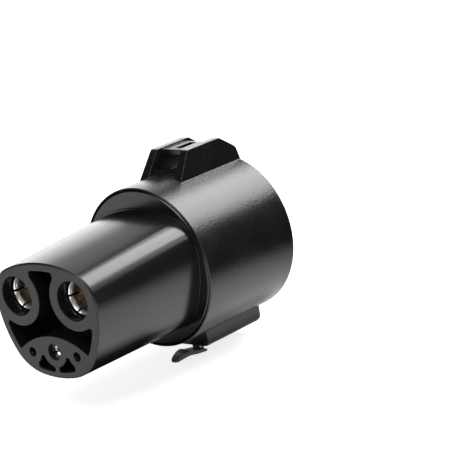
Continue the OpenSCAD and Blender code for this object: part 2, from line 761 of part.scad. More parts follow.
module power_wire_left() {
    color("#b5482c") lead(barrel_y, pin_front_y, [-power_x, power_z], [-line_x, line_z], power_wire_r);
}
module power_wire_right() {
    color("#2b2b2d") lead(barrel_y, pin_front_y, [power_x, power_z], [line_x, line_z], power_wire_r);
}
module ground_wire() {
    color("#4f8a3c") lead(barrel_y, pin_front_y, [0, ground_z], [0, earth_z], ground_wire_r);
}
module pilot_wire() {
    color("#d8d4c4")
        lead(barrel_y, pin_front_y, [signal_x, signal_z], [sense_x, sense_z], signal_wire_r);
}

// The thermal cut-off lies half way along the proximity lead
cutoff_y = (barrel_y + pin_front_y - cutoff_len) / 2;
cutoff_at = [-(signal_x + sense_x) / 2, (signal_z + sense_z) / 2];
module proximity_wire_front() {
    color("#3f63a8") lead(barrel_y, cutoff_y, [-signal_x, signal_z], cutoff_at, signal_wire_r);
}
module proximity_wire_rear() {
    color("#3f63a8")
        lead(cutoff_y + cutoff_len, pin_front_y, cutoff_at, [-sense_x, sense_z], signal_wire_r);
}
module thermal_cutoff() {
    color("#2f3032")
    translate([cutoff_at[0] - cutoff_w / 2, cutoff_y, cutoff_at[1] - cutoff_t / 2])
        cube([cutoff_w, cutoff_len, cutoff_t]);
}

// A pin with a rounded tip, a stouter shank in the block, a collar under it and a crimp barrel
module pin(r) {
    collar_front = spigot_y - pin_collar_t;
    bar(well_y - eps, pin_tip_y - r, r);
    bar(spigot_y - eps, well_y, r + pin_step);
    along_y(pin_tip_y - r) rotate_extrude()
        intersection() { circle(r = r, $fn = 48); square([r, r]); }
    bar(collar_front, spigot_y, r + pin_collar_w);
    bar(pin_front_y, collar_front, r + pin_collar_w / 2);
}

module power_pin_left() { color("#c8c9c6") translate([-line_x, 0, line_z]) pin(line_pin_r); }
module power_pin_right() { color("#c8c9c6") translate([line_x, 0, line_z]) pin(line_pin_r); }
module ground_pin() { color("#c8c9c6") translate([0, 0, earth_z]) pin(earth_pin_r); }
module pilot_pin() { color("#c8c9c6") translate([sense_x, 0, sense_z]) pin(sense_pin_r); }
module proximity_pin() { color("#c8c9c6") translate([-sense_x, 0, sense_z]) pin(sense_pin_r); }

// Stations of the leaf: share of its length, share of its rise from droop to hump, share of its thickness
leaf = [[0, -0.07, 0.1], [0.02, 0.12, 0.36], [0.046, 0.26, 0.56], [0.1, 0.5, 0.8], [0.158, 0.7, 0.93],
        [0.22, 0.84, 1], [0.289, 0.94, 1.02], [0.35, 0.99, 1.01], [0.408, 1, 1], [0.46, 0.96, 0.98],
        [0.513, 0.86, 0.92], [0.562, 0.72, 0.83], [0.612, 0.57, 0.74], [0.717, 0.39, 0.64],
        [0.81, 0.29, 0.62], [0.882, 0.17, 0.57], [0.95, 0.01, 0.44], [0.985, -0.12, 0.26], [1, -0.2, 0.12]];

// Side view of the leaf: it humps up in front of the cowl and thins out behind the pivot
module paddle_side() {
    front = pivot_y - paddle_reach;
    length = paddle_reach + tail_reach;
    low = cowl_bottom - paddle_droop;
    top = [for (s = leaf) [front + length * s[0], low + (paddle_droop - paddle_hump) * s[1]]];
    polygon(concat(top, [for (i = [len(leaf) - 1 : -1 : 0]) top[i] - [0, paddle_t * leaf[i][2]]]));
}

// Top view of the leaf: narrow and round at its tip, wide at its rear
module paddle_plan() {
    hull() {
        translate([0, pivot_y - paddle_reach + tip_half_w]) circle(r = tip_half_w, $fn = 32);
        for (s = [-1, 1], y = [pivot_y - 4, pivot_y + tail_reach - 1.4])
            translate([s * (tail_half_w - 1.4), y]) circle(r = 1.4, $fn = 32);
    }
}

module lever() {
    color("#6a6b6d")
    difference() {
        union() {
            intersection() {
                side_prism(-2 * tail_half_w, 2 * tail_half_w) paddle_side();
                translate([0, 0, 2 * cowl_bottom]) linear_extrude(-2 * cowl_bottom) paddle_plan();
            }
            translate([-stem_half_w, pivot_y, pivot_z]) rotate([0, 90, 0])
                cylinder(h = 2 * stem_half_w, r = hub_r);
            side_prism(-stem_half_w, stem_half_w)
                polygon([[pivot_y - stem_front, pivot_z], [pivot_y - stem_front, cowl_bottom - paddle_droop],
                         [pivot_y + stem_rear, cowl_bottom - paddle_droop], [pivot_y + hub_r, pivot_z]]);
        }
        translate([-2 * stem_half_w, pivot_y, pivot_z]) rotate([0, 90, 0])
            cylinder(h = 4 * stem_half_w, r = pivot_pin_r + pivot_gap);
    }
}

module lever_pin() {
    color("#b9bbbd")
    translate([-cowl_half_w + 0.3, pivot_y, pivot_z]) rotate([0, 90, 0])
        cylinder(h = 2 * cowl_half_w - pin_end_inset - 0.6, r = pivot_pin_r);
}

// The lever's spring: a leg on the paddle, the coil round the pin, a leg against the cowl
coil_steps = 16;
spring_sides = 8;
spring_x0 = stem_half_w + spring_wire_r + 0.2;
spring_pitch = 2 * spring_wire_r + 0.08;
leg_reach = 1.5;
leg_low = [spring_x0, pivot_y - leg_reach, paddle_top + spring_wire_r + 0.1];
leg_high = [spring_x0 + spring_pitch * spring_turns, pivot_y - coil_r,
            pivot_z + hub_r + hub_gap - spring_wire_r];
// Ring of the wire round a point, square to the coil at an angle round the pin
function wire_ring(c, a) = [for (j = [0 : spring_sides - 1]) let (b = 360 * j / spring_sides)
    c + spring_wire_r * [sin(b), cos(b) * cos(a), cos(b) * sin(a)]];

module lever_spring() {
    color("#c0c0bd")
    tube_skin(concat([wire_ring(leg_low, 180)],
        [for (i = [0 : coil_steps * spring_turns]) let (a = 180 - 360 * i / coil_steps)
            wire_ring([spring_x0 + spring_pitch * i / coil_steps,
                       pivot_y + coil_r * cos(a), pivot_z + coil_r * sin(a)], a)],
        [wire_ring(leg_high, 180)]));
}

nose_housing();
rear_shell();
pin_block();
power_socket_left();
power_socket_right();
socket_spring_left();
socket_spring_right();
ground_socket();
pilot_socket();
proximity_socket();
contact_retainer();
retainer_screws();
power_wire_left();
power_wire_right();
ground_wire();
pilot_wire();
proximity_wire_front();
thermal_cutoff();
proximity_wire_rear();
power_pin_left();
power_pin_right();
ground_pin();
pilot_pin();
proximity_pin();
body_seal();
shell_screws();
lever();
lever_pin();
lever_spring();
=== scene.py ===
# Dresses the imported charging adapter: black housings, silvered contacts, leads, springs and screws.
# Lengths in the tables are in millimetres, as in the part's source, and objects are made in metres.
import json
import math

import bmesh
import bpy
from mathutils import Matrix, Vector

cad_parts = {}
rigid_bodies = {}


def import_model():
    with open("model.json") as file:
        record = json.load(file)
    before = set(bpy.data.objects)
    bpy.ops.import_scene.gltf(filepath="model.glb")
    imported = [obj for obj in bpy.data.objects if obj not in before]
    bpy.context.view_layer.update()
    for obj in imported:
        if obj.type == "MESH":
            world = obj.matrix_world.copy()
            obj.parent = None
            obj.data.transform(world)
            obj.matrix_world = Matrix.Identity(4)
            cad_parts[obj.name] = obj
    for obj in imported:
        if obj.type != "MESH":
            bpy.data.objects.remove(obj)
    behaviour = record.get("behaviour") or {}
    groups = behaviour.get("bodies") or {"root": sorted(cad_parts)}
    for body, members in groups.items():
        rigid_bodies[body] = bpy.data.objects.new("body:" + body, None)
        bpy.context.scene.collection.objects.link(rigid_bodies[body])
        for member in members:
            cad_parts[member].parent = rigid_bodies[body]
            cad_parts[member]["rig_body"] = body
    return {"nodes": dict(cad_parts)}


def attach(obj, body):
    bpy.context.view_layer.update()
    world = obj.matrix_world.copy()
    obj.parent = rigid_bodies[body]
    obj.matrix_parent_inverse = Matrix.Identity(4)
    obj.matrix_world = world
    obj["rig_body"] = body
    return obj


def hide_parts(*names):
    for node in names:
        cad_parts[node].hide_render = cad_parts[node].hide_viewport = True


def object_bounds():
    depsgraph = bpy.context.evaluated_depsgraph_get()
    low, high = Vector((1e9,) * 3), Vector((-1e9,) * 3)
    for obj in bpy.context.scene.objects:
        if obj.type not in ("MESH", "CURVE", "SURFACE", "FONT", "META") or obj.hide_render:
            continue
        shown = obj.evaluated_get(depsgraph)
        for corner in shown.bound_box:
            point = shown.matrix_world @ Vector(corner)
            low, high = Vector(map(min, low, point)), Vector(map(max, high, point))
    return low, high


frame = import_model()
cad_lo, cad_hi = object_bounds()
scene = bpy.context.scene
nodes = frame["nodes"]
MM = 0.001
# Front end of the nose, and the power contacts: front end, distance of their axes from the middle
# plane, height of their axes, radius of their bores
TIP_Y = -43.0
POWER_Y, POWER_X, POWER_Z, POWER_BORE = -39.0, 11.4, 4.5, 4.5
# Closeness in metres at which two points of a mesh are one
WELD = 1e-6


# Shader maths


class Value:
    """An output socket in a material's tree; sums, products and the like of it add Math nodes."""

    def __init__(self, tree, socket):
        self.tree = tree
        self.socket = socket

    def maths(self, operation, *others):
        return add_node(self.tree, "ShaderNodeMath", {"operation": operation},
                        dict(enumerate((self, *others))))

    def __add__(self, other):
        return self.maths("ADD", other)

    def __sub__(self, other):
        return self.maths("SUBTRACT", other)

    def __rsub__(self, other):
        return add_node(self.tree, "ShaderNodeMath", {"operation": "SUBTRACT"}, {0: other, 1: self})

    def __mul__(self, other):
        return self.maths("MULTIPLY", other)

    def __truediv__(self, other):
        return self.maths("DIVIDE", other)

    def __rtruediv__(self, other):
        return add_node(self.tree, "ShaderNodeMath", {"operation": "DIVIDE"}, {0: other, 1: self})

    __radd__ = __add__
    __rmul__ = __mul__

    def clamped(self):
        node = self.maths("ADD", 0.0)
        node.socket.node.use_clamp = True
        return node

    def step(self, low, high):
        """0 below low and 1 above high, with a smooth rise between them."""
        return add_node(self.tree, "ShaderNodeMapRange", {"interpolation_type": "SMOOTHSTEP"},
                        {"Value": self, "From Min": low, "From Max": high})


def add_node(tree, kind, settings=None, inputs=None, out=0):
    """Adds a node, sets it up, fills or links its inputs, and hands back one of its outputs."""
    node = tree.nodes.new(kind)
    for key, setting in (settings or {}).items():
        if key == "stops":
            ramp = node.color_ramp
            while len(ramp.elements) < len(setting):
                ramp.elements.new(0.5)
            for element, (place, colour) in zip(ramp.elements, setting):
                element.position = place
                element.color = (*colour, 1)
        else:
            setattr(node, key, setting)
    for key, value in (inputs or {}).items():
        if isinstance(value, Value):
            tree.links.new(value.socket, node.inputs[key])
        else:
            node.inputs[key].default_value = value
    return Value(tree, node.outputs[out])


class Finish:
    """A named material: its tree, its shader, and the piece's own coordinates in millimetres."""

    def __init__(self, name, **constants):
        self.material = bpy.data.materials.new(name)
        self.material.use_nodes = True
        self.tree = self.material.node_tree
        self.shader = self.tree.nodes["Principled BSDF"]
        for socket, value in constants.items():
            self.shader.inputs[socket.replace("_", " ")].default_value = value
        place = add_node(self.tree, "ShaderNodeTexCoord", out="Object")
        self.at = self.node("ShaderNodeVectorMath", {"operation": "SCALE"},
                            {0: place, "Scale": 1 / MM})
        self.x, self.y, self.z = (self.node("ShaderNodeSeparateXYZ", inputs={0: self.at}, out=i)
                                  for i in range(3))

    def node(self, kind, settings=None, inputs=None, out=0):
        return add_node(self.tree, kind, settings, inputs, out)

    def set(self, **links):
        for socket, value in links.items():
            self.tree.links.new(value.socket, self.shader.inputs[socket.replace("_", " ")])
        return self

    def noise(self, size, detail=2.0, stretch=None):
        """Cloudy noise from 0 to 1 whose blotches are about size millimetres across."""
        where = self.at
        if stretch:
            where = self.node("ShaderNodeVectorMath", {"operation": "MULTIPLY"},
                              {0: where, 1: stretch})
        return self.node("ShaderNodeTexNoise",
                         inputs={"Vector": where, "Scale": 1 / size, "Detail": detail})

    def pits(self, size):
        """Distance to the nearest of many points about size millimetres apart."""
        return self.node("ShaderNodeTexVoronoi", inputs={"Vector": self.at, "Scale": 1 / size})

    def mix(self, share, first, second):
        return self.node("ShaderNodeMix", {"data_type": "RGBA"}, {0: share, 6: first, 7: second},
                         out=2)

    def ramp(self, value, *stops):
        return self.node("ShaderNodeValToRGB", {"stops": stops}, {0: value})

    def bump(self, height, depth):
        """A Bump node's normal; depth is the height's full range in millimetres."""
        return self.node("ShaderNodeBump", inputs={"Height": height, "Distance": depth * MM})

    def ring_distance(self, centre_x, centre_z):
        """Distance from the nearer of two axes, one on either side of the middle plane."""
        across = self.x.maths("ABSOLUTE") - centre_x
        up = self.z - centre_z
        return (across * across + up * up).maths("SQRT")


def rgba(*colour):
    return (*colour, 1.0)


# Finishes


def moulded(name, dark, pale, grain, depth, roughness, spread, specular=0.5):
    """Moulded plastic: spark-eroded grain, slow flow clouds, and a gloss that changes with both.

    Grain and depth are the size and height of the grain in millimetres, and spread is how far
    clouds and grain move the roughness.
    """
    made = Finish(name, Specular_IOR_Level=specular)
    clouds = made.noise(11.0, 3.0)
    texture = made.noise(grain, 4.0) * 0.65 + made.pits(grain * 1.4) * 0.35
    speckle = made.noise(grain * 0.45, 1.0)
    share = (clouds * 0.5 + speckle * 0.5).step(0.35, 0.65)
    gloss = (clouds - 0.5) * spread + (speckle - 0.5) * spread + roughness
    made.set(Base_Color=made.mix(share, rgba(*dark), rgba(*pale)), Roughness=gloss.clamped(),
             Normal=made.bump(texture, depth))
    return made


def nose_finish():
    """Satin housing whose flat front face is left coarser than its polished sides."""
    made = Finish("nose_plastic_black", Specular_IOR_Level=0.45)
    clouds = made.noise(14.0, 3.0)
    grain = made.noise(0.3, 3.0)
    drawn = made.noise(0.5, 2.0, stretch=(1.0, 0.08, 1.0))
    face = 1 - made.y.step(TIP_Y + 0.15, TIP_Y + 0.55)
    side_roughness, face_roughness = 0.21, 0.45
    share = (clouds * 0.4 + grain * 0.6).step(0.35, 0.65)
    gloss = ((clouds - 0.5) * 0.06 + (drawn - 0.5) * 0.05 + side_roughness
             + face * (face_roughness - side_roughness))
    made.set(Base_Color=made.mix(share, rgba(0.0075, 0.0075, 0.0085), rgba(0.011, 0.011, 0.012)),
             Roughness=gloss.clamped(),
             Normal=made.bump(grain * (0.6 + face * 0.6) + drawn * 0.2, 0.018))
    return made


def contact_finish():
    """Silver plating, browned and rubbed golden inside the bores, with fine turning marks."""
    made = Finish("contact_silver_plated", Metallic=1.0)
    inside = 1 - made.ring_distance(POWER_X, POWER_Z).step(POWER_BORE - 0.05, POWER_BORE + 0.25)
    turning = made.noise(0.35, 2.0, stretch=(0.15, 1.0, 0.15))
    blotches = made.noise(1.6, 4.0)
    deep = made.y.step(POWER_Y + 0.2, POWER_Y + 2.5)
    tarnish = (inside * (deep * 0.5 + blotches * 0.5)).clamped()
    plated = made.mix(turning, rgba(0.94, 0.93, 0.90), rgba(0.97, 0.965, 0.95))
    browned = made.ramp(blotches, (0.3, (0.50, 0.39, 0.25)), (0.55, (0.72, 0.62, 0.46)),
                        (0.8, (0.92, 0.88, 0.80)))
    made.set(Base_Color=made.mix(tarnish, plated, browned),
             Roughness=(turning * 0.12 + blotches * 0.12 + 0.18).clamped(),
             Normal=made.bump(turning, 0.008))
    return made


def metal(name, dark, pale, roughness, mark, stretch):
    """Bright metal with marks of a size in millimetres, longest where stretch is least."""
    made = Finish(name, Metallic=1.0)
    marks = made.noise(mark, 3.0, stretch=stretch)
    clouds = made.noise(mark * 9, 3.0)
    share = (marks * 0.6 + clouds * 0.4).step(0.3, 0.7)
    made.set(Base_Color=made.mix(share, rgba(*dark), rgba(*pale)),
             Roughness=(marks * 0.14 + clouds * 0.12 + roughness).clamped(),
             Normal=made.bump(marks, 0.006))
    return made


def insulation(name, dark, pale):
    """Extruded silicone insulation: soft sheen, long faint die lines and a little dust."""
    made = Finish(name, Specular_IOR_Level=0.45)
    lines = made.noise(0.35, 2.0, stretch=(1.0, 0.05, 1.0))
    dust = made.noise(0.9, 5.0)
    share = (lines * 0.6 + dust * 0.4).step(0.3, 0.7)
    made.set(Base_Color=made.mix(share, rgba(*dark), rgba(*pale)),
             Roughness=(dust * 0.2 + 0.42).clamped(), Normal=made.bump(lines, 0.02))
    return made


def filled_nylon():
    """Natural grey nylon with short glass fibres that show as pale streaks."""
    made = Finish("retainer_plastic_grey", Specular_IOR_Level=0.4)
    fibres = made.noise(0.22, 2.0, stretch=(0.2, 1.0, 1.0)).step(0.55, 0.7)
    clouds = made.noise(5.0, 3.0)
    base = made.mix(clouds, rgba(0.22, 0.225, 0.22), rgba(0.31, 0.315, 0.30))
    made.set(Base_Color=made.mix(fibres * 0.5, base, rgba(0.48, 0.48, 0.46)),
             Roughness=(clouds * 0.15 + 0.5).clamped(), Normal=made.bump(fibres, 0.01))
    return made


def rubber():
    """Matt sealing rubber with talc left in its pores."""
    made = Finish("seal_rubber_dark", Specular_IOR_Level=0.3)
    pores = made.noise(0.12, 4.0)
    talc = made.noise(2.4, 5.0).step(0.52, 0.75)
    made.set(Base_Color=made.mix(talc * 0.4, rgba(0.022, 0.022, 0.023), rgba(0.16, 0.16, 0.155)),
             Roughness=(pores * 0.2 + 0.62).clamped(), Normal=made.bump(pores, 0.015))
    return made


# Stretch of the marks that a lathe leaves round the long axis, and of marks without a direction
TURNED = (0.12, 1.0, 0.12)
EVEN = (1.0, 1.0, 1.0)
FINISHES = {
    "nose_plastic": nose_finish(),
    "shell_plastic": moulded("shell_plastic_black", (0.0075, 0.0075, 0.0085), (0.012, 0.012, 0.013),
                             grain=0.55, depth=0.06, roughness=0.26, spread=0.1, specular=0.42),
    "block_plastic": moulded("block_plastic_black", (0.007, 0.007, 0.008), (0.012, 0.012, 0.013),
                             grain=0.25, depth=0.012, roughness=0.36, spread=0.1),
    "lever_plastic": moulded("lever_plastic_grey", (0.085, 0.085, 0.086), (0.140, 0.139, 0.138),
                             grain=0.3, depth=0.03, roughness=0.5, spread=0.12),
    "cutoff_resin": moulded("cutoff_resin_dark", (0.018, 0.018, 0.022), (0.040, 0.040, 0.046),
                            grain=0.18, depth=0.01, roughness=0.38, spread=0.14),
    "contact_silver": contact_finish(),
    "pin_silver": metal("pin_silver_plated", (0.70, 0.69, 0.66), (0.88, 0.87, 0.85),
                        roughness=0.12, mark=0.2, stretch=TURNED),
    "spring_steel": metal("spring_steel_bright", (0.42, 0.42, 0.43), (0.66, 0.66, 0.67),
                          roughness=0.2, mark=0.1, stretch=EVEN),
    "screw_steel": metal("screw_steel_zinc", (0.50, 0.51, 0.53), (0.72, 0.73, 0.74),
                         roughness=0.26, mark=0.3, stretch=TURNED),
    "retainer_plastic": filled_nylon(),
    "seal_rubber": rubber(),
    "lead_red": insulation("lead_insulation_red", (0.33, 0.028, 0.018), (0.52, 0.075, 0.045)),
    "lead_black": insulation("lead_insulation_black", (0.012, 0.012, 0.013), (0.030, 0.030, 0.031)),
    "lead_green": insulation("lead_insulation_green", (0.045, 0.17, 0.03), (0.10, 0.27, 0.06)),
    "lead_white": insulation("lead_insulation_white", (0.56, 0.54, 0.47), (0.74, 0.72, 0.65)),
    "lead_blue": insulation("lead_insulation_blue", (0.025, 0.07, 0.25), (0.05, 0.13, 0.38)),
}
NODE_FINISH = {
    "nose_housing": "nose_plastic", "rear_shell": "shell_plastic", "pin_block": "block_plastic",
    "power_socket_left": "contact_silver", "power_socket_right": "contact_silver",
    "socket_spring_left": "spring_steel", "socket_spring_right": "spring_steel",
    "ground_socket": "contact_silver", "pilot_socket": "contact_silver",
    "proximity_socket": "contact_silver", "contact_retainer": "retainer_plastic",
    "retainer_screws": "screw_steel",
    "power_wire_left": "lead_red", "power_wire_right": "lead_black",
    "ground_wire": "lead_green", "pilot_wire": "lead_white", "proximity_wire_front": "lead_blue",
    "thermal_cutoff": "cutoff_resin", "proximity_wire_rear": "lead_blue",
    "power_pin_left": "pin_silver", "power_pin_right": "pin_silver", "ground_pin": "pin_silver",
    "pilot_pin": "pin_silver", "proximity_pin": "pin_silver", "body_seal": "seal_rubber",
    "shell_screws": "screw_steel", "lever": "lever_plastic", "lever_pin": "screw_steel",
    "lever_spring": "spring_steel",
}
for name, kind in NODE_FINISH.items():
    for slot in nodes[name].material_slots:
        slot.material = FINISHES[kind].material


# Geometry Nodes shapes


class Shape:
    """A Geometry Nodes tree in the making: named inputs, grids bent into solids, and one output."""

    def __init__(self, name):
        self.tree = bpy.data.node_groups.new(name, "GeometryNodeTree")
        self.tree.interface.new_socket("Geometry", in_out="OUTPUT",
                                       socket_type="NodeSocketGeometry")
        self.entry = self.tree.nodes.new("NodeGroupInput")
        self.identifiers = {}

    def node(self, kind, settings=None, inputs=None, out=0):
        return add_node(self.tree, kind, settings, inputs, out)

    def input(self, name, kind="Float"):
        item = self.tree.interface.new_socket(name, in_out="INPUT", socket_type="NodeSocket" + kind)
        self.identifiers[name] = item.identifier
        return Value(self.tree, self.entry.outputs[name])

    def parts(self, vector):
        return [self.node("ShaderNodeSeparateXYZ", inputs={0: vector}, out=i) for i in range(3)]

    def pick(self, index, choices):
        """The choice that belongs to a whole-number index."""
        picked = self.node("GeometryNodeIndexSwitch", {"data_type": "FLOAT"}, {"Index": index})
        switch = picked.socket.node
        while len(switch.index_switch_items) < len(choices):
            switch.index_switch_items.new()
        for i, choice in enumerate(choices):
            if isinstance(choice, Value):
                self.tree.links.new(choice.socket, switch.inputs[str(i)])
            else:
                switch.inputs[str(i)].default_value = choice
        return picked

    def grid(self, rows, columns):
        """A sheet of points with the row and the share of a turn of each of them."""
        sheet = self.node("GeometryNodeMeshGrid", inputs={
            "Size X": 1.0, "Size Y": 1.0, "Vertices X": rows, "Vertices Y": columns})
        along, around, _ = self.parts(self.node("GeometryNodeInputPosition"))
        return sheet, ((along + 0.5) * (rows - 1)).maths("ROUND"), around + 0.5

    def bent(self, geometry, x, y, z):
        """The geometry with its points at new places in millimetres, and its seams closed."""
        place = self.node("ShaderNodeCombineXYZ", inputs={0: x * MM, 1: y * MM, 2: z * MM})
        moved = self.node("GeometryNodeSetPosition",
                          inputs={"Geometry": geometry, "Position": place})
        return self.node("GeometryNodeMergeByDistance",
                         inputs={"Geometry": moved, "Distance": WELD})

    def hexagon(self, turn, corner_radius):
        """Radius of a hexagon's side at a share of a turn."""
        sector = ((turn * 6).maths("FRACT") - 0.5) * (math.pi / 3)
        return corner_radius * math.cos(math.pi / 6) / sector.maths("COSINE")

    def finish(self, *pieces):
        joined = self.node("GeometryNodeJoinGeometry")
        for piece in pieces:
            self.tree.links.new(piece.socket, joined.socket.node.inputs[0])
        real = self.node("GeometryNodeRealizeInstances", inputs={"Geometry": joined})
        coated = self.node("GeometryNodeSetMaterial", inputs={
            "Geometry": real, "Material": self.input("Material", "Material")})
        self.tree.links.new(coated.socket, self.tree.nodes.new("NodeGroupOutput").inputs[0])
        return self


def lead_shape():
    """An insulated lead that eases from its first place to its last; the outer rows close it."""
    made = Shape("lead")
    start, end = (made.parts(made.input(name, "Vector")) for name in ("Start", "End"))
    radius = made.input("Radius")
    steps, sides = made.input("Steps", "Int"), made.input("Sides", "Int")
    sheet, row, turn = made.grid(steps + 3, sides + 1)
    share = ((row - 1) / steps).clamped()
    ease = (1 - (share * math.pi).maths("COSINE")) * 0.5
    open_here = row.maths("GREATER_THAN", 0.5) * row.maths("LESS_THAN", steps + 1.5)
    angle = turn * math.tau
    return made.finish(made.bent(
        sheet,
        start[0] + (end[0] - start[0]) * ease + radius * open_here * angle.maths("COSINE"),
        start[1] + (end[1] - start[1]) * share,
        start[2] + (end[2] - start[2]) * ease + radius * open_here * angle.maths("SINE")))


def coil_shape(name, axis):
    """A wire that leaves one leg, winds round an axis while it rises, and ends in another leg.

    The first two rows are the first leg's end, closed and open, the last two are the last leg's,
    and the coil lies between them.
    """
    made = Shape(name)
    centre = made.parts(made.input("Centre", "Vector"))
    legs = [made.parts(made.input(leg, "Vector")) for leg in ("First leg", "Last leg")]
    radius, wire, turns, rise, start = (
        made.input(n) for n in ("Radius", "Wire", "Turns", "Rise", "Start"))
    steps, sides = made.input("Steps", "Int"), made.input("Sides", "Int")
    sheet, row, turn = made.grid(steps + 5, sides + 1)
    share = ((row - 2) / steps).clamped()
    bend = (start + turns * share) * math.tau
    first = row.maths("LESS_THAN", 1.5)
    last = row.maths("GREATER_THAN", steps + 2.5)
    winding = 1 - first - last
    open_here = row.maths("GREATER_THAN", 0.5) * row.maths("LESS_THAN", steps + 3.5)
    out = wire * open_here * (turn * math.tau).maths("COSINE")
    side = wire * open_here * (turn * math.tau).maths("SINE")
    coil = (radius * bend.maths("COSINE"), rise * share, radius * bend.maths("SINE"))
    skin = (out * bend.maths("COSINE"), side, out * bend.maths("SINE"))
    local = [first * legs[0][i] + last * legs[1][i] + winding * coil[i] + skin[i] for i in range(3)]
    order = (1, 0, 2) if axis == "X" else (0, 1, 2)
    return made.finish(made.bent(sheet, *(centre[i] + local[order[i]] for i in range(3))))


def screw_shape():
    """Pan-head screws on points, heads towards the rear, with a hexagon recess and a cut thread."""
    made = Shape("screw")
    points = made.input("Points", "Geometry")
    length, outer, pitch = (made.input(n) for n in ("Length", "Thread radius", "Pitch"))
    head_r, head_t = made.input("Head radius"), made.input("Head height")
    rows, sides = made.input("Thread rows", "Int"), 24
    # One row closes the point, and seven make the head after the thread's rows
    sheet, row, turn = made.grid(rows + 8, sides + 1)
    depth = ((row - 1) / (rows - 1)).clamped()
    wave = 1 - ((depth * length / pitch + turn).maths("FRACT") * 2 - 1).maths("ABSOLUTE")
    ends = depth.step(0.0, 0.12) * (1 - depth.step(0.86, 0.93))
    thread = (wave * 1.7 - 0.3).clamped() * ends
    shank = outer * (0.78 + 0.22 * thread + 0.22 * depth.step(0.9, 0.93))
    socket = made.hexagon(turn, head_r * 0.45)
    part = row - rows - 1
    on_head = part.maths("GREATER_THAN", -0.5)
    head = made.pick(part, [head_r * 0.98, head_r, head_r * 0.96, head_r * 0.8, socket,
                            socket * 0.97, 0.0])
    level = made.pick(part, [0.0, head_t * 0.35, head_t * 0.7, head_t * 0.99, head_t * 0.99,
                             head_t * 0.42, head_t * 0.4])
    radius = row.maths("GREATER_THAN", 0.5) * ((1 - on_head) * shank + on_head * head)
    angle = turn * math.tau
    solid = made.bent(sheet, radius * angle.maths("COSINE"),
                      (1 - on_head) * length * (depth - 1) + on_head * level,
                      radius * angle.maths("SINE"))
    return made.finish(made.node("GeometryNodeInstanceOnPoints",
                                 inputs={"Points": points, "Instance": solid}))


def socket_shape():
    """A slotted power contact: fingers round a turned root with a collar and a crimped barrel."""
    made = Shape("power socket")
    x, y, z = made.parts(made.input("Centre", "Vector"))
    count, slot = made.input("Fingers", "Int"), made.input("Slot width")
    inner, outer, collar, barrel = (
        made.input(n + " radius") for n in ("Inner", "Outer", "Collar", "Barrel"))
    # Distance from the contact's front, change of the inner radius, change of the outer radius
    stations = [(0.0, 0.72, -0.14), (0.05, 0.66, -0.06), (0.3, 0.46, 0.0), (0.8, 0.2, 0.0),
                (1.7, 0.0, 0.0), (3.0, 0.0, 0.0), (4.62, 0.0, 0.0), (4.66, 0.0, -0.35),
                (5.34, 0.0, -0.35), (5.38, 0.0, 0.0), (8.0, 0.0, 0.0), (13.0, 0.0, 0.0),
                (13.3, 0.05, -0.05)]
    block = made.node("GeometryNodeMeshCube", inputs={
        "Size": (1, 1, 1), "Vertices X": 11, "Vertices Y": len(stations), "Vertices Z": 2})
    across, along, through = made.parts(made.node("GeometryNodeInputPosition"))
    index = ((along + 0.5) * (len(stations) - 1)).maths("ROUND")
    reach, inside, outside = (
        made.pick(index, [station[i] for station in stations]) for i in range(3))
    low = inner + inside
    radius = low + (through + 0.5) * (outer + outside - low)
    half = math.pi / count - (slot * 0.5 / radius).maths("ARCSINE")
    angle = across * 2 * half + math.pi / count
    finger = made.bent(block, radius * angle.maths("COSINE"), reach, radius * angle.maths("SINE"))
    spots = made.node("GeometryNodeMeshLine", inputs={"Count": count, "Offset": (0, 0, 0)})
    turned = made.node("ShaderNodeCombineXYZ", inputs={
        1: made.node("GeometryNodeInputIndex") * math.tau / count})
    facing = made.node("FunctionNodeEulerToRotation", inputs={0: turned})
    fingers = made.node("GeometryNodeInstanceOnPoints",
                        inputs={"Points": spots, "Instance": finger, "Rotation": facing})
    # Radius of the turned root and distance from the contact's front, row by row
    rows, sides = 19, 48
    sheet, row, turn = made.grid(rows, sides + 1)
    crimp = made.hexagon(turn, barrel)
    profile = [(0.0, 16.0), (inner, 16.0), (inner, 13.0), (outer, 13.0), (outer, 18.9),
               (collar - 0.15, 19.0), (collar, 19.15), (collar, 20.85), (collar - 0.15, 21.0),
               (barrel, 21.0), (barrel, 24.2), (crimp, 24.5), (crimp, 25.2), (barrel, 25.4),
               (crimp, 25.6), (crimp, 26.3), (barrel, 26.6), (barrel, 27.0), (0.0, 27.0)]
    radius = made.pick(row, [r for r, _ in profile])
    angle = turn * math.tau
    root = made.bent(sheet, radius * angle.maths("COSINE"), made.pick(row, [d for _, d in profile]),
                     radius * angle.maths("SINE"))
    both = made.node("GeometryNodeJoinGeometry", inputs={0: fingers})
    made.tree.links.new(root.socket, both.socket.node.inputs[0])
    place = made.node("ShaderNodeCombineXYZ", inputs={0: x * MM, 1: y * MM, 2: z * MM})
    return made.finish(made.node("GeometryNodeTransform",
                                 inputs={"Geometry": both, "Translation": place}))


# Pieces


def add_object(name, data):
    obj = bpy.data.objects.new(name, data)
    scene.collection.objects.link(obj)
    return obj


def add_mesh(name, places, faces=()):
    """An object with a new mesh; places are in metres, faces are rows of their numbers."""
    mesh = bpy.data.meshes.new(name)
    mesh.from_pydata(places, [], faces)
    return add_object(name, mesh)


def evaluated_mesh(obj):
    """The object's mesh with its modifiers in it; the object itself keeps none of them."""
    mesh = bpy.data.meshes.new_from_object(obj.evaluated_get(bpy.context.evaluated_depsgraph_get()))
    obj.modifiers.clear()
    return mesh


def finish_piece(obj, replaced):
    """Puts a finished mesh on its body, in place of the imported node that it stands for."""
    kind = NODE_FINISH[replaced]
    obj.data.materials.clear()
    obj.data.materials.append(FINISHES[kind].material)
    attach(obj, nodes[replaced]["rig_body"])
    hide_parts(replaced)


# The shoulder disc lies in the plane y = 0, and only its edge is further than this from the axis
DISC_RIM = 24 * MM
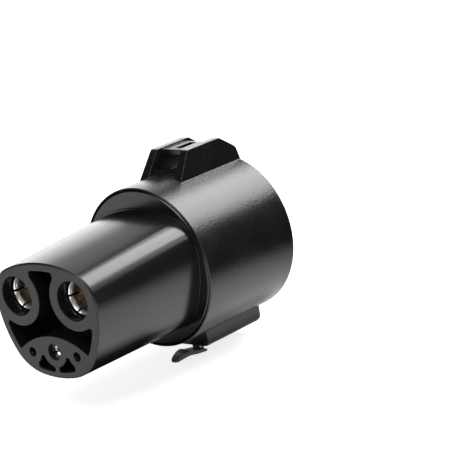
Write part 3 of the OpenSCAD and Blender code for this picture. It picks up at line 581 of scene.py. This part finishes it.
# Width of the break on that edge, and a little over the height of the land round the nose's root
DISC_BREAK, LAND_T = 0.3 * MM, 0.6 * MM
# Angle between two faces past which their edge isn't shaded smooth
CREASE = math.radians(28)


def from_axis(vertex):
    return math.hypot(vertex.co.x, vertex.co.z)


def disc_edge(edge):
    """Tells the round edge of the shoulder disc from the nose's other edges."""
    return all(abs(v.co.y) < 0.01 * MM and from_axis(v) > DISC_RIM for v in edge.verts)


def root_share(edge):
    """Share of the rounding: half on the rim of the land round the root, none in its creases."""
    if not all(-LAND_T < v.co.y < 0.1 * MM and from_axis(v) < DISC_RIM for v in edge.verts):
        return 1.0
    return 0.5 if edge.is_convex else 0.0


def with_few_corners(bm):
    """Cuts the faces of more than four corners into triangles, which the rounding needs."""
    bmesh.ops.triangulate(bm, faces=[f for f in bm.faces if len(f.verts) > 4])


def softened(node, name, width, sharper_than=CREASE, broken=None, share=lambda edge: 1.0):
    """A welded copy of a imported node, its steep edges rounded off a little, shallower ones crisp.

    The edges that broken picks get a flat break first, and share says how much of the width each
    rounded edge gets.
    """
    bm = bmesh.new()
    bm.from_mesh(nodes[node].data)
    bmesh.ops.remove_doubles(bm, verts=bm.verts, dist=WELD)
    bmesh.ops.dissolve_limit(bm, angle_limit=math.radians(0.5), verts=bm.verts, edges=bm.edges)
    with_few_corners(bm)
    if broken:
        bmesh.ops.bevel(bm, geom=[e for e in bm.edges if broken(e)], offset=DISC_BREAK, segments=1,
                        affect="EDGES", loop_slide=False)
        with_few_corners(bm)
    bm.verts.index_update()
    obj = add_mesh(name, [v.co for v in bm.verts], [[v.index for v in f.verts] for f in bm.faces])
    bm.free()
    mesh = obj.data
    mesh.shade_smooth()
    bm = bmesh.new()
    bm.from_mesh(mesh)
    weights = bm.edges.layers.float.new("bevel_weight_edge")
    for edge in bm.edges:
        angle = edge.calc_face_angle(0.0)
        edge[weights] = share(edge) if angle > sharper_than else 0.0
        edge.smooth = edge[weights] > 0 or angle < CREASE
    bm.to_mesh(mesh)
    bm.free()
    bevel = obj.modifiers.new("round", "BEVEL")
    bevel.width = width * MM
    bevel.segments = 2
    bevel.limit_method = "WEIGHT"
    bevel.use_clamp_overlap = False
    bevel.loop_slide = False
    bevel.miter_outer = "MITER_ARC"
    bevel.face_strength_mode = "FSTR_ALL"
    even = obj.modifiers.new("even", "WEIGHTED_NORMAL")
    even.keep_sharp = True
    even.use_face_influence = True
    obj.data = mesh = evaluated_mesh(obj)
    # Faces square to the long axis are quite flat, so they are shaded with their own normals
    normals = [corner.vector.copy() for corner in mesh.corner_normals]
    for face in mesh.polygons:
        if abs(face.normal.y) > 0.99999:
            for corner in face.loop_indices:
                normals[corner] = face.normal
    mesh.normals_split_custom_set(normals)
    finish_piece(obj, node)


def grown(name, replaced, shape, inputs, points=()):
    """A piece taken from a Geometry Nodes shape as a plain mesh, with its faces turned outwards."""
    obj = add_mesh(name, [Vector(p) * MM for p in points])
    modifier = obj.modifiers.new("shape", "NODES")
    modifier.node_group = shape.tree
    for label, value in {"Material": FINISHES[NODE_FINISH[replaced]].material, **inputs}.items():
        modifier[shape.identifiers[label]] = value
    obj.data = evaluated_mesh(obj)
    bm = bmesh.new()
    bm.from_mesh(obj.data)
    bmesh.ops.recalc_face_normals(bm, faces=bm.faces)
    bm.to_mesh(obj.data)
    bm.free()
    obj.data.shade_smooth()
    obj.data.set_sharp_from_angle(angle=math.radians(32))
    finish_piece(obj, replaced)


softened("nose_housing", "nose_moulding", width=0.17, sharper_than=math.radians(50),
         broken=disc_edge, share=root_share)
softened("rear_shell", "shell_moulding", width=0.15)
softened("pin_block", "block_moulding", width=0.12)
softened("lever", "finger_lever", width=0.12)

# Name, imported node, first and last place of the lead's middle line, radius
LEADS = [
    ("lead_line_left", "power_wire_left", (-POWER_X, -12, POWER_Z), (-7.9, 5.5, 6.8), 2.2),
    ("lead_line_right", "power_wire_right", (POWER_X, -12, POWER_Z), (7.9, 5.5, 6.8), 2.2),
    ("lead_ground", "ground_wire", (0, -12, -11.7), (0, 5.5, -10.6), 1.6),
    ("lead_pilot", "pilot_wire", (9.1, -12, -12.4), (10.7, 5.5, -5.6), 0.9),
    ("lead_proximity_front", "proximity_wire_front", (-9.1, -12, -12.4), (-9.9, -5.75, -9.0), 0.9),
    ("lead_proximity_rear", "proximity_wire_rear", (-9.9, -0.75, -9.0), (-10.7, 5.5, -5.6), 0.9),
]
lead = lead_shape()
for name, node, start, end, radius in LEADS:
    grown(name, node, lead, {"Start": [float(v) for v in start], "End": [float(v) for v in end],
                             "Radius": radius, "Steps": 28, "Sides": 32})

power_socket = socket_shape()
ring_spring = coil_shape("ring spring", "Y")
# A ring spring lies in the fingers' groove; its ends stop short of the full turn by this share each
RING_R, RING_GAP = 5.5, 0.02
ring_end = [RING_R * f(math.tau * RING_GAP) for f in (math.cos, math.sin)]
for side, across in (("left", -POWER_X), ("right", POWER_X)):
    grown("contact_" + side, "power_socket_" + side, power_socket,
          {"Centre": (across, POWER_Y, POWER_Z), "Fingers": 6, "Slot width": 0.7,
           "Inner radius": POWER_BORE, "Outer radius": 5.5, "Collar radius": 6.5,
           "Barrel radius": 4.0})
    grown("ring_" + side, "socket_spring_" + side, ring_spring,
          {"Centre": (across, POWER_Y + 5, POWER_Z), "First leg": (ring_end[0], 0.0, ring_end[1]),
           "Last leg": (ring_end[0], 0.0, -ring_end[1]), "Radius": RING_R, "Wire": 0.34,
           "Turns": 1 - 2 * RING_GAP, "Rise": 0.0, "Start": RING_GAP, "Steps": 60, "Sides": 12})
grown("coil_spring", "lever_spring", coil_shape("lever spring", "X"),
      {"Centre": (2.0, 16.2, -27.2), "First leg": (-1.5, 0.0, -3.0), "Last leg": (-1.35, 1.44, 1.8),
       "Radius": 1.35, "Wire": 0.2, "Turns": -3.0, "Rise": 1.44, "Start": 0.5, "Steps": 108,
       "Sides": 12})

screw = screw_shape()
grown("retainer_fixings", "retainer_screws", screw,
      {"Length": 8.0, "Thread radius": 0.9, "Pitch": 0.5, "Head radius": 1.7, "Head height": 1.2,
       "Thread rows": 129}, [(0, -15, 9), (0, -15, -3)])
# Circle of the shell screws round the axis, and the place of their heads' undersides on it
SCREW_CIRCLE, SCREW_SEAT = 19.7, 14.6
grown("shell_fixings", "shell_screws", screw,
      {"Length": 8.0, "Thread radius": 1.1, "Pitch": 0.6, "Head radius": 2.2, "Head height": 1.4,
       "Thread rows": 108},
      [(SCREW_CIRCLE * math.cos(a), SCREW_SEAT, SCREW_CIRCLE * math.sin(a))
       for a in (math.radians(d) for d in (90, 210, 330))])


# Stage: floor, light and camera


# Angles in degrees and places in millimetres of the camera that lines up with the photograph
CAMERA = {"azimuth": 42.629, "elevation": 14.468, "roll": -9.391, "distance": 640.54,
          "right": 26.411, "up": 9.972, "focal_px": 2130.75}
IMAGE_PX = 470
# Height of the floor, in millimetres
GROUND = cad_lo.z / MM


def place_camera():
    azimuth, elevation, roll = (math.radians(CAMERA[k]) for k in ("azimuth", "elevation", "roll"))
    back = Vector((math.sin(azimuth) * math.cos(elevation),
                   -math.cos(azimuth) * math.cos(elevation), math.sin(elevation)))
    level = Vector((math.cos(azimuth), math.sin(azimuth), 0))
    upright = back.cross(level)
    right = math.cos(roll) * level + math.sin(roll) * upright
    up = math.cos(roll) * upright - math.sin(roll) * level
    camera = add_object("camera", bpy.data.cameras.new("camera"))
    camera.data.lens = CAMERA["focal_px"] / IMAGE_PX * camera.data.sensor_width
    camera.data.clip_start, camera.data.clip_end = 0.05, 50
    place = (back * CAMERA["distance"] + right * CAMERA["right"] + up * CAMERA["up"]) * MM
    camera.matrix_world = Matrix((
        (right.x, up.x, back.x, place.x), (right.y, up.y, back.y, place.y),
        (right.z, up.z, back.z, place.z), (0, 0, 0, 1)))
    scene.camera = camera


def softbox(name, direction, distance, width, height, power, tint=(1.0, 1.0, 1.0)):
    """A rectangular lamp, in metres and watts, turned towards the adapter from a distance."""
    lamp = bpy.data.lights.new(name, "AREA")
    lamp.shape, lamp.size, lamp.size_y, lamp.energy = "RECTANGLE", width, height, power
    lamp.color = tint
    obj = add_object(name, lamp)
    towards = Vector(direction).normalized()
    obj.location = towards * distance
    obj.rotation_euler = towards.to_track_quat("Z", "Y").to_euler()


def seen_share(tree):
    """1 for the camera's own rays and for those that gloss and glass send on; 0 for light."""
    rays = [add_node(tree, "ShaderNodeLightPath", out=kind)
            for kind in ("Is Camera Ray", "Is Glossy Ray", "Is Transmission Ray")]
    return (rays[0] + rays[1] + rays[2]).clamped()


def make_world():
    """White for the camera and in gloss, and a softer light from all sides on the adapter."""
    seen_strength, light_strength = 1.0, 0.35
    world = bpy.data.worlds.new("studio")
    scene.world = world
    world.use_nodes = True
    tree = world.node_tree
    plain, output = tree.nodes["Background"], tree.nodes["World Output"]
    plain.inputs["Color"].default_value = rgba(1, 1, 1)
    plain.inputs["Strength"].default_value = light_strength
    white = add_node(tree, "ShaderNodeBackground",
                     inputs={"Color": rgba(1, 1, 1), "Strength": seen_strength})
    both = add_node(tree, "ShaderNodeMixShader", inputs={0: seen_share(tree), 2: white})
    tree.links.new(plain.outputs[0], both.socket.node.inputs[1])
    tree.links.new(both.socket, output.inputs["Surface"])


def rectangle(first_x, first_y, last_x, last_y, z):
    return [(first_x, first_y, z), (last_x, first_y, z), (last_x, last_y, z), (first_x, last_y, z)]


def make_floor():
    """A pale floor that the camera and gloss see as white, with the adapter's shadow on it."""
    reach, glow_strength = 3.0, 0.78
    floor = add_mesh("floor", rectangle(-reach, -reach, reach, reach, cad_lo.z), [[0, 1, 2, 3]])
    made = Finish("floor_white", Specular_IOR_Level=0.1, Roughness=0.9)
    made.set(Base_Color=made.mix(made.noise(60.0), rgba(0.71, 0.71, 0.71), rgba(0.73, 0.73, 0.73)))
    glow = made.node("ShaderNodeEmission",
                     inputs={"Color": rgba(1, 1, 1), "Strength": glow_strength})
    lit = made.node("ShaderNodeAddShader", inputs={1: glow})
    made.tree.links.new(made.shader.outputs[0], lit.socket.node.inputs[0])
    both = made.node("ShaderNodeMixShader", inputs={0: seen_share(made.tree), 2: lit})
    made.tree.links.new(made.shader.outputs[0], both.socket.node.inputs[1])
    made.tree.links.new(both.socket, made.tree.nodes["Material Output"].inputs["Surface"])
    floor.data.materials.append(made.material)


def card(name, corners, faces, opacity):
    """A black card that gloss alone sees, for the dark bands on black plastic.

    Opacity is a function that works out, from the card's finish, how much of it is there.
    """
    flag = add_mesh(name, [Vector(c) * MM for c in corners], faces)
    made = Finish(name, Specular_IOR_Level=0.0, Roughness=1.0)
    made.set(Base_Color=made.mix(made.noise(40.0), rgba(0.004, 0.004, 0.004),
                                 rgba(0.006, 0.006, 0.006)))
    clear = made.node("ShaderNodeBsdfTransparent")
    both = made.node("ShaderNodeMixShader", inputs={0: opacity(made), 1: clear})
    made.tree.links.new(made.shader.outputs[0], both.socket.node.inputs[2])
    made.tree.links.new(both.socket, made.tree.nodes["Material Output"].inputs["Surface"])
    flag.data.materials.append(made.material)
    for ray in ("camera", "diffuse", "transmission", "shadow", "volume_scatter"):
        setattr(flag, "visible_" + ray, False)


def curved_card(name, first, last, radius, low, high, opacity, foot=None):
    """A card bent round the adapter from one bearing in degrees to another.

    It stands between two heights over the floor, in millimetres, and if it has a foot, a strip
    runs in from its lower edge to that radius.
    """
    steps = 24
    rings = [(radius, GROUND + low), (radius, GROUND + high)]
    if foot:
        rings = [(foot, GROUND + low)] + rings
    bearings = [math.radians(first + (last - first) * i / steps) for i in range(steps + 1)]
    wide = steps + 1
    card(name, [(r * math.cos(a), r * math.sin(a), z) for r, z in rings for a in bearings],
         [[k + i, k + i + 1, k + i + 1 + wide, k + i + wide]
          for k in range(0, wide * (len(rings) - 1), wide) for i in range(steps)], opacity)


def denser_outwards(made):
    """For the card at the right: clear where its foot begins, black from its upright part on."""
    return (made.x * made.x + made.y * made.y).maths("SQRT").step(48, 127)


def upright(made):
    """For cards that are black all over but for the first millimetre over the floor."""
    return made.z.step(GROUND, GROUND + 1)


def denser_leftwards(made):
    """For the card behind the key lamp: it fades out towards the adapter's right."""
    return made.y.maths("ARCTAN2", made.x).step(math.radians(85), math.radians(114))


def under_adapter(made):
    """Painted shadow on the floor card: soft at its edges, wider under the nose, fainter under the
    body.
    """
    nose_widening = made.y.step(2, -8) * -4
    sides = 1 - (made.x.maths("ABSOLUTE") + nose_widening).step(11, 21)
    ends = made.y.step(-50, -36) * (1 - made.y.step(42, 55))
    return sides * ends * (1 - made.y.step(-6, 6) * 0.4)


def make_cards():
    curved_card("card right", 10, 80, radius=130, low=2, high=95, opacity=denser_outwards, foot=48)
    curved_card("card left", 160, 232, radius=500, low=25, high=800, opacity=upright)
    curved_card("card front", 232, 325, radius=500, low=25, high=370, opacity=upright)
    curved_card("card key", 84, 120, radius=500, low=60, high=950, opacity=denser_leftwards)
    # Painted shadow: a black sheet on the floor, seen by gloss alone, darkens the floor's reflection
    # under the adapter as its shadow would
    card("card painted shadow", rectangle(-24, -50, 24, 56, GROUND + 2), [[0, 1, 2, 3]], under_adapter)


place_camera()
make_world()
make_floor()
make_cards()
softbox("key", (0.147, 0.692, 0.707), distance=1.0, width=0.85, height=0.54, power=13,
        tint=(1.0, 0.985, 0.955))
softbox("fill", (-0.77, 0.58, 0.25), distance=1.2, width=0.8, height=0.6, power=2.1)
softbox("front", (0.055, -0.627, 0.777), distance=1.2, width=0.7, height=0.32, power=3.8,
        tint=(0.97, 0.98, 1.0))
scene.view_settings.view_transform = "Standard"
